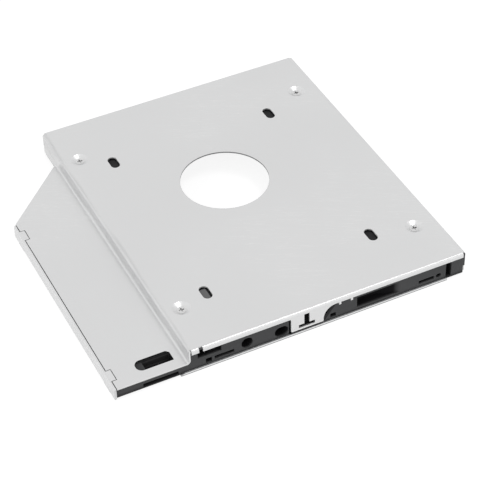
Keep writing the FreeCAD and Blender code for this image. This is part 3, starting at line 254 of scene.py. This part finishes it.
def addScratches(tree, parts, scratches):
    # hairlines in some of the broad patches
    scratch = tree.nodes.new("ShaderNodeGroup")
    scratch.node_tree = scratchGroup
    scratch.inputs["Scale"].default_value = scratches["scale"]
    scratch.inputs["Turn"].default_value = scratches["turn"]
    scratch.inputs["Amount"].default_value = scratches["amount"]
    inPatch = addRange(tree, parts["grain"].outputs["Patch"], *scratches["patch"])
    mask = addMath(tree, "MULTIPLY", scratch.outputs["Scratch"], inPatch)
    rough = addMath(tree, "MULTIPLY_ADD", mask, scratches["roughRise"], parts["rough"])
    tree.links.new(rough, parts["shader"].inputs["Roughness"])
    return mixColour(tree, mask, parts["colour"], scratches["colour"])


# Cover: pale satin sheet, with creases along its step, painted shade in those creases and on its cut
# edges, and a painted highlight on its front fold

coverFinish = {
    "dark": (0.665, 0.667, 0.669),
    "light": (0.705, 0.707, 0.709),
    "metallic": 0.6,
    "rough": (0.30, 0.38),
    "grainScale": 1400.0,
    "patchScale": 18.0,
    "bump": 0.15,
    "bumpDepth": 0.02,
    "scratches": {
        "scale": 55.0,
        "turn": 0.5,  # radians
        "amount": 0.012,
        "patch": (0.52, 0.62),  # the patch values over which they appear
        "colour": (0.76, 0.76, 0.76),
        "roughRise": 0.1,
    },
    "stepSide": (-37.4, -36.6),  # X over which the marks of the step fade out
    "stepFoot": (4.82, 5.3),  # Z over which they appear
    "wobbleScale": 38.0,
    "wobbleReach": 2.6,  # how far the step's marks wander, end to end
    "creaseStretch": (760.0, 46.0, 520.0),
    "creaseBump": 0.5,
    "creaseDepth": 0.6,
    "creaseRange": (0.38, 0.62),  # noise values that are spread over the share below
    "creaseShadeShare": (0.35, 1.0),  # how much painted shade is mixed into the creases
    # painted shade mixed into the step's creases
    "creaseColour": (0.61, 0.612, 0.614),
    "foldFace": (-63.74, -63.62),  # Y over which the painted highlight on the front fold's face fades out
    "foldHighlight": (0.80, 0.802, 0.804),
    "window": (9.4, 8.6, 15.72),  # middle X, middle Y and a radius just past the cut edge
    # painted shade on the round window's cut edge
    "windowEdgeShade": (0.20, 0.20, 0.205),
    "wingSlot": ((-47.8, -57.5, 4.5), (6.23, 2.43, 0.29)),  # middle and half size
    # painted shade on the wing slot's cut edge
    "slotEdgeShade": (0.02, 0.02, 0.021),
}


def coverMetal():
    look = coverFinish
    material, tree, parts = startFinish("satinCoverSheet", look)
    axes = objectAxes(tree)
    # the marks of the step wander as they run along Y
    wave = tree.nodes.new("ShaderNodeTexNoise")
    wave.noise_dimensions = "1D"
    wave.inputs["Scale"].default_value = look["wobbleScale"]
    wave.inputs["Detail"].default_value = 3.0
    tree.links.new(axes["Y"], wave.inputs["W"])
    offMiddle = addMath(tree, "SUBTRACT", wave.outputs["Fac"], 0.5)
    shift = addMath(tree, "MULTIPLY", offMiddle, look["wobbleReach"] * mm)
    wavyX = addMath(tree, "ADD", axes["X"], shift)
    wavyZ = addMath(tree, "ADD", axes["Z"], shift)
    leftOfSide = fadeOut(tree, wavyX, look["stepSide"])
    aboveFoot = fadeIn(tree, axes["Z"], look["stepFoot"])
    onStep = addMath(tree, "MULTIPLY", leftOfSide, aboveFoot)
    stretched = addStretch(tree, joinAxes(tree, wavyX, axes["Y"], wavyZ), look["creaseStretch"])
    crease = addNoise(tree, stretched, 1.0, 2.0)
    soft = tree.nodes.new("ShaderNodeBump")
    soft.inputs["Strength"].default_value = look["creaseBump"]
    soft.inputs["Distance"].default_value = look["creaseDepth"] * mm
    tree.links.new(addMath(tree, "MULTIPLY", crease, onStep), soft.inputs["Height"])
    tree.links.new(soft.outputs["Normal"], parts["bump"].inputs["Normal"])
    # each colour lies over the one before
    scratched = addScratches(tree, parts, look["scratches"])
    # painted shade in the creases of the step, on top of their bump
    share = addRange(tree, crease, *look["creaseRange"], *look["creaseShadeShare"])
    creaseShaded = mixColour(tree, addMath(tree, "MULTIPLY", share, onStep), scratched, look["creaseColour"])
    # a painted highlight on the front fold's face, paler where front light would fall
    onFold = fadeOut(tree, axes["Y"], look["foldFace"])
    foldHighlighted = mixColour(tree, onFold, creaseShaded, look["foldHighlight"])
    # painted shade on the cut edge of the round window
    windowEdgeShaded = mixColour(tree, roundMask(tree, axes, look["window"]), foldHighlighted, look["windowEdgeShade"])
    # painted shade on the cut walls of the wing slot
    slotEdgeShaded = mixColour(tree, boxMask(tree, axes, *look["wingSlot"]), windowEdgeShaded, look["slotEdgeShade"])
    tree.links.new(slotEdgeShaded, parts["shader"].inputs["Base Color"])
    return material


# Frame: black moulding, with painted shade at its foot, in the holes of its front, beside the tab and on
# the tongues under the fixing slots

mouldedFinish = {
    "dark": (0.062, 0.063, 0.065),
    "light": (0.083, 0.084, 0.086),
    "specular": 0.22,
    "rough": (0.42, 0.56),
    "grainScale": 3200.0,
    "patchScale": 60.0,
    "bump": 0.35,
    "bumpDepth": 0.03,
    "paintedShadeColour": (0.006, 0.006, 0.007),
    "holeStart": (-63.05, -62.3),  # Y over which painted shade in the holes begins behind the front face
    "holeEnd": (-56.0, -54.0),  # Y over which that ends
    "footShade": (0.9, 2.0),  # Z over which the foot's shade fades out
    "footDarkness": 0.75,
    "tabHollow": ((12.6, -62.05, 4.6), (2.4, 1.2, 3.3)),  # shade beside the tab: middle and half size
    "hollowEdge": ((10.76, 1.34), (14.41, 6.13)),  # it lies above a line through two points in X and Z
    "clipPad": ((-52.5, -57.5, 3.5), (1.52, 2.45, 0.2)),  # kept pale: middle and half size
    "clipLedge": ((-47.8, -55.1, 3.05), (6.3, 0.1, 0.3)),  # kept pale too
    "tongueStart": (8.5, 8.55),  # Z over which the tongues under the fixing slots begin
    "tongueEnd": (8.65, 8.7),  # and end
    "paleTongueCorner": (-20.4, -38.2),  # the front left tongue is painted paler below this X and Y
    "paleTongueColour": (0.15, 0.15, 0.152),
}


def blackMoulding():
    look = mouldedFinish
    material, tree, parts = startFinish("blackMoulding", look)
    axes = objectAxes(tree)
    # painted shade in the holes of the front, at the foot and beside the tab
    pastFace = fadeIn(tree, axes["Y"], look["holeStart"])
    inHole = addMath(tree, "MULTIPLY", pastFace, fadeOut(tree, axes["Y"], look["holeEnd"]))
    foot = fadeOut(tree, axes["Z"], look["footShade"], look["footDarkness"])
    # painted shade beside the tab above a slanted line, where the model's own hollow sits too high to show
    (lowX, lowZ), (highX, highZ) = look["hollowEdge"]
    slope = (highZ - lowZ) / (highX - lowX)
    edgeZ = addMath(tree, "MULTIPLY_ADD", axes["X"], slope, (lowZ - slope * lowX) * mm)
    aboveEdge = addMath(tree, "GREATER_THAN", axes["Z"], edgeZ)
    hollowShade = addMath(tree, "MULTIPLY", boxMask(tree, axes, *look["tabHollow"]), aboveEdge)
    darkest = addMath(tree, "MAXIMUM", addMath(tree, "MAXIMUM", inHole, foot), hollowShade)
    clipPad = boxMask(tree, axes, *look["clipPad"])
    clipFloor = addMath(tree, "ADD", clipPad, boxMask(tree, axes, *look["clipLedge"]))
    shade = addMath(tree, "SUBTRACT", darkest, clipFloor, clamp=True)
    shaded = mixColour(tree, shade, parts["colour"], look["paintedShadeColour"])
    # the tongues under the fixing slots are painted in shade; the front left one is painted paler, as a
    # lit copy
    aboveStart = fadeIn(tree, axes["Z"], look["tongueStart"])
    onTongue = addMath(tree, "MULTIPLY", aboveStart, fadeOut(tree, axes["Z"], look["tongueEnd"]))
    toLeft = addMath(tree, "LESS_THAN", axes["X"], look["paleTongueCorner"][0] * mm)
    toFront = addMath(tree, "LESS_THAN", axes["Y"], look["paleTongueCorner"][1] * mm)
    isPaleTongue = addMath(tree, "MULTIPLY", toLeft, toFront)
    tongue = mixColour(tree, isPaleTongue, look["paintedShadeColour"], look["paleTongueColour"])
    tree.links.new(mixColour(tree, onTongue, shaded, tongue), parts["shader"].inputs["Base Color"])
    tree.links.new(addMath(tree, "MAXIMUM", parts["rough"], inHole), parts["shader"].inputs["Roughness"])
    return material


# Bottom sheet: brushed, with painted shade along the foot of its edge

bottomFinish = {
    "dark": (0.75, 0.755, 0.76),
    "light": (0.83, 0.835, 0.84),
    "metallic": 0.75,
    "rough": (0.28, 0.42),
    "grainScale": 1100.0,
    "patchScale": 30.0,
    "stretch": (1.0, 14.0, 1.0),
    "bump": 0.2,
    "bumpDepth": 0.02,
    "lipShadeColour": (0.17, 0.17, 0.175),
    "footStart": (0.0, 0.02),  # Z over which the painted shade line begins, so the underside keeps its own colour
    "footEnd": (0.40, 0.48),  # and ends
}


def bottomSheetMetal():
    look = bottomFinish
    material, tree, parts = startFinish("bottomSheet", look)
    axes = objectAxes(tree)
    # painted shade along the foot of the sheet's edge
    aboveUnderside = fadeIn(tree, axes["Z"], look["footStart"])
    foot = addMath(tree, "MULTIPLY", aboveUnderside, fadeOut(tree, axes["Z"], look["footEnd"]))
    colour = mixColour(tree, foot, parts["colour"], look["lipShadeColour"])
    tree.links.new(colour, parts["shader"].inputs["Base Color"])
    return material


# Finishes with grain alone

railFinish = {
    "dark": (0.67, 0.672, 0.675),
    "light": (0.74, 0.742, 0.745),
    "metallic": 0.6,
    "rough": (0.30, 0.42),
    "grainScale": 1500.0,
    "patchScale": 50.0,
    "stretch": (1.0, 0.1, 1.0),
    "bump": 0.2,
    "bumpDepth": 0.02,
}

screwFinish = {
    "dark": (0.60, 0.60, 0.60),
    "light": (0.72, 0.72, 0.72),
    "metallic": 1.0,
    "rough": (0.22, 0.36),
    "grainScale": 2600.0,
    "patchScale": 300.0,
    "bump": 0.25,
    "bumpDepth": 0.02,
}

contactFinish = {
    "dark": (0.78, 0.53, 0.20),
    "light": (0.90, 0.66, 0.30),
    "metallic": 1.0,
    "rough": (0.18, 0.30),
    "grainScale": 2400.0,
    "patchScale": 400.0,
    "bump": 0.15,
    "bumpDepth": 0.01,
}

tagFinish = {
    "dark": (0.58, 0.59, 0.60),
    "light": (0.72, 0.73, 0.74),
    "metallic": 1.0,
    "rough": (0.26, 0.42),
    "grainScale": 1800.0,
    "patchScale": 300.0,
    "bump": 0.3,
    "bumpDepth": 0.02,
}

connectorFinish = {
    "dark": (0.022, 0.022, 0.024),
    "light": (0.034, 0.034, 0.036),
    "rough": (0.38, 0.5),
    "grainScale": 2600.0,
    "patchScale": 120.0,
    "bump": 0.25,
    "bumpDepth": 0.02,
}

filmFinish = {
    "dark": (0.42, 0.20, 0.030),
    "light": (0.52, 0.27, 0.045),
    "rough": (0.16, 0.26),
    "grainScale": 700.0,
    "patchScale": 90.0,
    "coat": 0.4,
    "bump": 0.15,
    "bumpDepth": 0.03,
}


# Board: green mask over copper tracks that run in steps along the board

boardFinish = {
    "dark": (0.010, 0.085, 0.035),
    "light": (0.014, 0.110, 0.045),
    "rough": (0.22, 0.32),
    "grainScale": 1800.0,
    "patchScale": 120.0,
    "coat": 0.3,
    "bump": 0.12,
    "bumpDepth": 0.02,
    "trackColour": (0.020, 0.165, 0.070),
    "trackScale": 480.0,  # units in a metre, for the next three sizes
    "trackWidth": 0.06,
    "trackPitch": 0.55,
    "stepLength": 3.4,
    "stepShift": 0.37,  # share of a step that each row moves along
}


def boardMask():
    look = boardFinish
    material, tree, parts = startFinish("greenBoardMask", look)
    place = tree.nodes.new("ShaderNodeTexCoord")
    # the tracks are the mortar of a brick pattern
    tracks = tree.nodes.new("ShaderNodeTexBrick")
    tracks.offset = look["stepShift"]
    tracks.inputs["Scale"].default_value = look["trackScale"]
    tracks.inputs["Mortar Size"].default_value = look["trackWidth"]
    tracks.inputs["Brick Width"].default_value = look["stepLength"]
    tracks.inputs["Row Height"].default_value = look["trackPitch"]
    tracks.inputs["Color1"].default_value = (0.0, 0.0, 0.0, 1.0)
    tracks.inputs["Color2"].default_value = (0.0, 0.0, 0.0, 1.0)
    tracks.inputs["Mortar"].default_value = (1.0, 1.0, 1.0, 1.0)
    tree.links.new(place.outputs["Object"], tracks.inputs["Vector"])
    colour = mixColour(tree, tracks.outputs["Color"], parts["colour"], look["trackColour"])
    tree.links.new(colour, parts["shader"].inputs["Base Color"])
    return material


# Chips: a body with tinned ends, found from how far a point lies from its own chip's middle

chipFinish = {
    "rough": (0.3, 0.42),
    "grainScale": 2500.0,
    "patchScale": 500.0,
    "bump": 0.2,
    "bumpDepth": 0.02,
    "endShare": 0.24,  # each end's share of the length
    "endColour": (0.66, 0.67, 0.68),
}

capacitorFinish = {
    "dark": (0.30, 0.20, 0.11),
    "light": (0.38, 0.26, 0.15),
    "first": -9.5,  # X of the first one's middle
    "pitch": 8.0,
    "length": 2.0,
}

resistorFinish = {
    "dark": (0.020, 0.020, 0.022),
    "light": (0.032, 0.032, 0.034),
    "first": 31.0,
    "pitch": 5.0,
    "length": 1.6,
}


def chipMaterial(name, bodyFinish):
    look = {**chipFinish, **bodyFinish}
    material, tree, parts = startFinish(name, look)
    axes = objectAxes(tree)
    fromStart = addMath(tree, "SUBTRACT", axes["X"], (look["first"] - look["pitch"] / 2) * mm)
    inPitch = addMath(tree, "FLOORED_MODULO", fromStart, look["pitch"] * mm)
    fromMiddle = addMath(tree, "ABSOLUTE", addMath(tree, "SUBTRACT", inPitch, look["pitch"] * mm / 2))
    bodyReach = look["length"] * (0.5 - look["endShare"]) * mm
    isEnd = addMath(tree, "GREATER_THAN", fromMiddle, bodyReach)
    colour = mixColour(tree, isEnd, parts["colour"], look["endColour"])
    tree.links.new(colour, parts["shader"].inputs["Base Color"])
    tree.links.new(isEnd, parts["shader"].inputs["Metallic"])
    return material


def dress(nodeName, material):
    slots = nodes[nodeName].material_slots
    for place in slots:
        place.material = material
    if not slots:
        nodes[nodeName].data.materials.append(material)


screwMetal = startFinish("platedScrew", screwFinish)[0]
contactMetal = startFinish("giltContact", contactFinish)[0]
tagMetal = startFinish("tinnedTag", tagFinish)[0]
connectorPlastic = startFinish("connectorPlastic", connectorFinish)[0]
finishes = {
    "top_cover": coverMetal(),
    "main_frame": blackMoulding(),
    "bottom_sheet": bottomSheetMetal(),
    "wing_side_rail": startFinish("sideRail", railFinish)[0],
    "circuit_board": boardMask(),
    "insulating_film": startFinish("amberFilm", filmFinish)[0],
    "drive_socket": connectorPlastic,
    "rear_plug": connectorPlastic,
    "drive_socket_contacts": contactMetal,
    "rear_plug_contacts": contactMetal,
    "drive_socket_locks": tagMetal,
    "rear_plug_locks": tagMetal,
    "capacitors": chipMaterial("capacitorChip", capacitorFinish),
    "resistors": chipMaterial("resistorChip", resistorFinish),
}
# the nodes that aren't in the list are screws
for nodeName in nodes:
    dress(nodeName, finishes.get(nodeName, screwMetal))
print("nodes finished:", len(nodes))


# Solder beads round the contact tails on top of the board, a row for each group of contacts

solder = {
    "boardTop": 8.3,
    "beadHeight": 0.28,
    "neckShare": 0.6,  # the top's radius as a share of the foot's
    "beadSides": 12,
    "beadRings": 4,
    "rows": (  # first tail's X, row's Y, pitch, count, foot radius
        (-12.91, 59.3, 1.27, 7, 0.5),
        (0.11, 59.3, 1.27, 15, 0.5),
        (28.3, 55.35, 1.0, 7, 0.42),
        (38.7, 55.35, 1.0, 6, 0.42),
    ),
}


def buildBeadTree():
    # adds one row of beads to the geometry that comes in
    tree = bpy.data.node_groups.new("beadRow", "GeometryNodeTree")
    inputs = (
        ("Geometry", "NodeSocketGeometry", None),
        ("First X", "NodeSocketFloat", 0.0),
        ("Row Y", "NodeSocketFloat", 0.0),
        ("Board Top", "NodeSocketFloat", solder["boardTop"] * mm),
        ("Pitch", "NodeSocketFloat", 1.0 * mm),
        ("Count", "NodeSocketInt", 1),
        ("Foot Radius", "NodeSocketFloat", 0.5 * mm),
        ("Height", "NodeSocketFloat", solder["beadHeight"] * mm),
        ("Neck Share", "NodeSocketFloat", solder["neckShare"]),
        ("Metal", "NodeSocketMaterial", None))
    for socketName, socketType, value in inputs:
        socket = tree.interface.new_socket(socketName, in_out="INPUT", socket_type=socketType)
        if value is not None:
            socket.default_value = value
    tree.interface.new_socket("Geometry", in_out="OUTPUT", socket_type="NodeSocketGeometry")
    entry = tree.nodes.new("NodeGroupInput")
    exitNode = tree.nodes.new("NodeGroupOutput")
    given = entry.outputs
    line = tree.nodes.new("GeometryNodeMeshLine")
    tree.links.new(given["Count"], line.inputs["Count"])
    start = joinAxes(tree, given["First X"], given["Row Y"], given["Board Top"])
    tree.links.new(start, line.inputs["Start Location"])
    tree.links.new(joinAxes(tree, given["Pitch"]), line.inputs["Offset"])
    bead = tree.nodes.new("GeometryNodeMeshCylinder")
    bead.inputs["Vertices"].default_value = solder["beadSides"]
    bead.inputs["Side Segments"].default_value = solder["beadRings"]
    tree.links.new(given["Foot Radius"], bead.inputs["Radius"])
    tree.links.new(given["Height"], bead.inputs["Depth"])
    # the side curves in from the foot to the neck, as solder does when it wets a pin
    position = tree.nodes.new("GeometryNodeInputPosition")
    axes = tree.nodes.new("ShaderNodeSeparateXYZ")
    tree.links.new(position.outputs[0], axes.inputs[0])
    x, y, z = axes.outputs
    rise = addMath(tree, "ADD", addMath(tree, "DIVIDE", z, given["Height"]), 0.5)
    fromNeck = addMath(tree, "POWER", addMath(tree, "SUBTRACT", 1.0, rise, clamp=True), 2.0)
    spare = addMath(tree, "SUBTRACT", 1.0, given["Neck Share"])
    share = addMath(tree, "MULTIPLY_ADD", fromNeck, spare, given["Neck Share"])
    halfHeight = addMath(tree, "MULTIPLY", given["Height"], 0.5)
    curved = joinAxes(tree, addMath(tree, "MULTIPLY", x, share), addMath(tree, "MULTIPLY", y, share),
                      addMath(tree, "ADD", z, halfHeight))
    shaped = tree.nodes.new("GeometryNodeSetPosition")
    tree.links.new(bead.outputs["Mesh"], shaped.inputs["Geometry"])
    tree.links.new(curved, shaped.inputs["Position"])
    placed = tree.nodes.new("GeometryNodeInstanceOnPoints")
    tree.links.new(line.outputs["Mesh"], placed.inputs["Points"])
    tree.links.new(shaped.outputs["Geometry"], placed.inputs["Instance"])
    real = tree.nodes.new("GeometryNodeRealizeInstances")
    tree.links.new(placed.outputs["Instances"], real.inputs["Geometry"])
    both = tree.nodes.new("GeometryNodeJoinGeometry")
    tree.links.new(real.outputs["Geometry"], both.inputs["Geometry"])
    tree.links.new(given["Geometry"], both.inputs["Geometry"])
    metal = tree.nodes.new("GeometryNodeSetMaterial")
    tree.links.new(both.outputs["Geometry"], metal.inputs["Geometry"])
    tree.links.new(given["Metal"], metal.inputs["Material"])
    tree.links.new(metal.outputs["Geometry"], exitNode.inputs["Geometry"])
    return tree


def setInputs(modifier, values):
    for item in modifier.node_group.interface.items_tree:
        if item.item_type == "SOCKET" and item.in_out == "INPUT" and item.name in values:
            modifier[item.identifier] = values[item.name]


def buildSolder(metal):
    tree = buildBeadTree()
    carrier = bpy.data.objects.new("beadCarrier", bpy.data.meshes.new("beadCarrier"))
    bpy.context.scene.collection.objects.link(carrier)
    for firstX, rowY, pitch, count, radius in solder["rows"]:
        modifier = carrier.modifiers.new("beadRow", "NODES")
        modifier.node_group = tree
        setInputs(modifier, {"First X": firstX * mm, "Row Y": rowY * mm, "Pitch": pitch * mm,
                             "Count": count, "Foot Radius": radius * mm, "Metal": metal})
    evaluated = carrier.evaluated_get(bpy.context.evaluated_depsgraph_get())
    mesh = bpy.data.meshes.new_from_object(evaluated)
    bpy.data.objects.remove(carrier)
    mesh.name = "solderBeads"
    beads = bpy.data.objects.new("solder_beads", mesh)
    bpy.context.scene.collection.objects.link(beads)
    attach(beads, "root")
    print("solder beads:", len(mesh.polygons), "faces")


buildSolder(tagMetal)


# Stage: a floor that looks white to the camera and keeps a soft shadow

stage = {
    "floorSpan": 3000.0,
    "floorDrop": 0.02,
    "floorColour": (0.26, 0.26, 0.26),
    "floorRough": 0.9,
    "floorGlow": 0.84,
    "worldLight": 0.59,
}


def pathIsSeen(tree):
    # 1 for rays that show the background: seen straight, mirrored or through glass
    path = tree.nodes.new("ShaderNodeLightPath")
    seen = addMath(tree, "MAXIMUM", path.outputs["Is Camera Ray"], path.outputs["Is Glossy Ray"])
    return addMath(tree, "MAXIMUM", seen, path.outputs["Is Transmission Ray"])


def buildFloor():
    half = stage["floorSpan"] / 2 * mm
    corners = [(-half, -half, 0), (half, -half, 0), (half, half, 0), (-half, half, 0)]
    mesh = bpy.data.meshes.new("floor")
    mesh.from_pydata(corners, [], [(0, 1, 2, 3)])
    floor = bpy.data.objects.new("floor", mesh)
    floor.location.z = -stage["floorDrop"] * mm
    bpy.context.scene.collection.objects.link(floor)
    material = bpy.data.materials.new("paleFloor")
    material.use_nodes = True
    tree = material.node_tree
    shader = tree.nodes["Principled BSDF"]
    shader.inputs["Base Color"].default_value = (*stage["floorColour"], 1.0)
    shader.inputs["Roughness"].default_value = stage["floorRough"]
    shader.inputs["Specular IOR Level"].default_value = 0.0
    shader.inputs["Emission Color"].default_value = (1.0, 1.0, 1.0, 1.0)
    glow = addMath(tree, "MULTIPLY", pathIsSeen(tree), stage["floorGlow"])
    tree.links.new(glow, shader.inputs["Emission Strength"])
    # clear from below, so that the underside can be looked at
    side = tree.nodes.new("ShaderNodeNewGeometry")
    clear = tree.nodes.new("ShaderNodeBsdfTransparent")
    mixed = tree.nodes.new("ShaderNodeMixShader")
    tree.links.new(side.outputs["Backfacing"], mixed.inputs[0])
    tree.links.new(shader.outputs[0], mixed.inputs[1])
    tree.links.new(clear.outputs[0], mixed.inputs[2])
    tree.links.new(mixed.outputs[0], tree.nodes["Material Output"].inputs["Surface"])
    mesh.materials.append(material)


def buildWorld():
    world = bpy.data.worlds.new("studio")
    bpy.context.scene.world = world
    world.use_nodes = True
    tree = world.node_tree
    background = tree.nodes["Background"]
    background.inputs["Color"].default_value = (1.0, 1.0, 1.0, 1.0)
    strength = addRange(tree, pathIsSeen(tree), 0.0, 1.0, stage["worldLight"], 1.0)
    tree.links.new(strength, background.inputs["Strength"])


# name: place in mm, width and height in mm, power in watts
softboxes = {
    "frontBox": ((150.0, -1300.0, 450.0), (2000.0, 1000.0), 2.9),
    "leftBox": ((-1200.0, -150.0, 400.0), (1500.0, 800.0), 7.5),
    "topBox": ((300.0, -180.0, 1050.0), (420.0, 240.0), 2.4),
}


def buildLights():
    for name, (place, size, power) in softboxes.items():
        light = bpy.data.lights.new(name, "AREA")
        light.shape = "RECTANGLE"
        light.size = size[0] * mm
        light.size_y = size[1] * mm
        light.energy = power
        lamp = bpy.data.objects.new(name, light)
        lamp.location = Vector(place) * mm
        lamp.rotation_euler = (-lamp.location).to_track_quat("-Z", "Y").to_euler()
        bpy.context.scene.collection.objects.link(lamp)


buildFloor()
buildWorld()
buildLights()
bpy.context.scene.view_settings.view_transform = "Standard"
print("stage lit")
